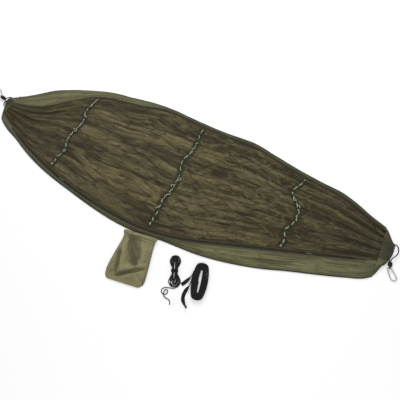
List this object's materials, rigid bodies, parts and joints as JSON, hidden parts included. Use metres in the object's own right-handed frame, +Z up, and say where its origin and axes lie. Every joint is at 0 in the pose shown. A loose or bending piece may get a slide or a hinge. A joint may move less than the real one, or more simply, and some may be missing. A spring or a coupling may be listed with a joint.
{
  "type": "hammock tent",
  "caption": "Hammock with a zipped insect net laid flat, with sack, end ropes, carabiners, spare cord and strap.",
  "frame": {"origin": "on the flat underside of the bed, halfway between the two end knots", "axes": "+X from the narrow end to the blunt end, +Y away from the zipped side, +Z up"},
  "size_m": [2.7567, 1.1578, 0.0303],
  "materials": {
    "bed_cloth": "light olive nylon, matt",
    "net_cloth": "brown olive netting, matt",
    "dark_trim": "dark olive binding tape, matt",
    "zip_black": "black woven zip tape",
    "zip_metal": "blackened metal, satin",
    "green_tape": "dark green webbing, matt",
    "flecked_cord": "pale green flecked braided cord",
    "black_cord": "black braided cord and webbing",
    "carabiner_steel": "bright steel wire, satin",
    "sack_cloth": "light olive nylon, matt"
  },
  "bodies": {
    "root": {"bed_panel": "bed_cloth", "end_sleeve_left": "bed_cloth", "end_sleeve_right": "bed_cloth", "net_panel": "net_cloth", "bed_hem_far": "dark_trim", "bed_hem_near": "dark_trim", "net_seam_tape": "dark_trim", "zip_tape_net_side": "zip_black", "zip_tape_bed_side": "zip_black", "zip_teeth_net_side": "zip_metal", "zip_teeth_bed_side": "zip_metal", "zip_stop_left": "zip_metal", "zip_stop_right": "zip_metal", "cross_tape_1": "green_tape", "cross_tape_2": "green_tape", "cross_tape_3": "green_tape", "lacing_cord_1": "flecked_cord", "lacing_cord_2": "flecked_cord", "lacing_cord_3": "flecked_cord", "end_rope_left": "black_cord", "end_rope_right": "black_cord", "end_knot_left": "black_cord", "end_knot_right": "black_cord", "sack_shell": "sack_cloth", "sack_mouth_casing": "sack_cloth", "sack_seam_binding": "sack_cloth", "sack_join_tab": "sack_cloth", "sack_drawcord": "black_cord", "guy_cord_hank": "black_cord", "guy_cord_tail": "black_cord", "hank_waist_wrap": "black_cord", "strap_coil": "black_cord", "strap_tail_long": "black_cord", "strap_tail_short": "black_cord"},
    "zip_slider_left": {"zip_slider_left": "zip_metal"},
    "zip_pull_left": {"zip_pull_left": "zip_metal"},
    "zip_slider_right": {"zip_slider_right": "zip_metal"},
    "zip_pull_right": {"zip_pull_right": "zip_metal"},
    "carabiner_left": {"carabiner_body_left": "carabiner_steel", "carabiner_rivet_left": "carabiner_steel"},
    "carabiner_right": {"carabiner_body_right": "carabiner_steel", "carabiner_rivet_right": "carabiner_steel"},
    "carabiner_gate_left": {"carabiner_gate_left": "carabiner_steel", "gate_spring_left": "carabiner_steel"},
    "carabiner_gate_right": {"carabiner_gate_right": "carabiner_steel", "gate_spring_right": "carabiner_steel"}
  },
  "joints": [
    {"name": "zip_slider_left_travel", "type": "hinge", "parent": "root", "child": "zip_slider_left", "pos_m": [-0.02895, 2.08788, 0.0103], "axis": [0, 0, 1], "range_deg": [-11.9, 10]},
    {"name": "zip_pull_left_turn", "type": "hinge", "parent": "zip_slider_left", "child": "zip_pull_left", "pos_m": [-0.60299, -0.35648, 0.01245], "axis": [0.2286, 0.9735, 0], "range_deg": [0, 175]},
    {"name": "zip_slider_right_travel", "type": "slide", "parent": "root", "child": "zip_slider_right", "axis": [0.9448, 0.3277, 0], "range_m": [-0.6, 0.28]},
    {"name": "zip_pull_right_turn", "type": "hinge", "parent": "zip_slider_right", "child": "zip_pull_right", "pos_m": [0.89198, -0.14671, 0.01245], "axis": [-0.3277, 0.9448, 0], "range_deg": [0, 175]},
    {"name": "carabiner_left_swing", "type": "hinge", "parent": "root", "child": "carabiner_left", "pos_m": [-1.34059, 0.00008, 0.01112], "axis": [-0.1139, 0.0242, 0.9932], "range_deg": [-30, 40]},
    {"name": "carabiner_right_swing", "type": "hinge", "parent": "root", "child": "carabiner_right", "pos_m": [1.30607, -0.04478, 0.01112], "axis": [0.0202, -0.1147, 0.9932], "range_deg": [-28, 28]},
    {"name": "gate_left_open", "type": "hinge", "parent": "carabiner_left", "child": "carabiner_gate_left", "pos_m": [-1.3495, -0.00769, 0.01029], "axis": [0.1139, -0.0242, -0.9932], "range_deg": [0, 22], "stiffness_Nm_per_rad": 0.02, "springref_deg": -28.65},
    {"name": "gate_right_open", "type": "hinge", "parent": "carabiner_right", "child": "carabiner_gate_right", "pos_m": [1.31665, -0.03945, 0.01152], "axis": [-0.0202, 0.1147, -0.9932], "range_deg": [0, 22], "stiffness_Nm_per_rad": 0.02, "springref_deg": -28.65}
  ]
}
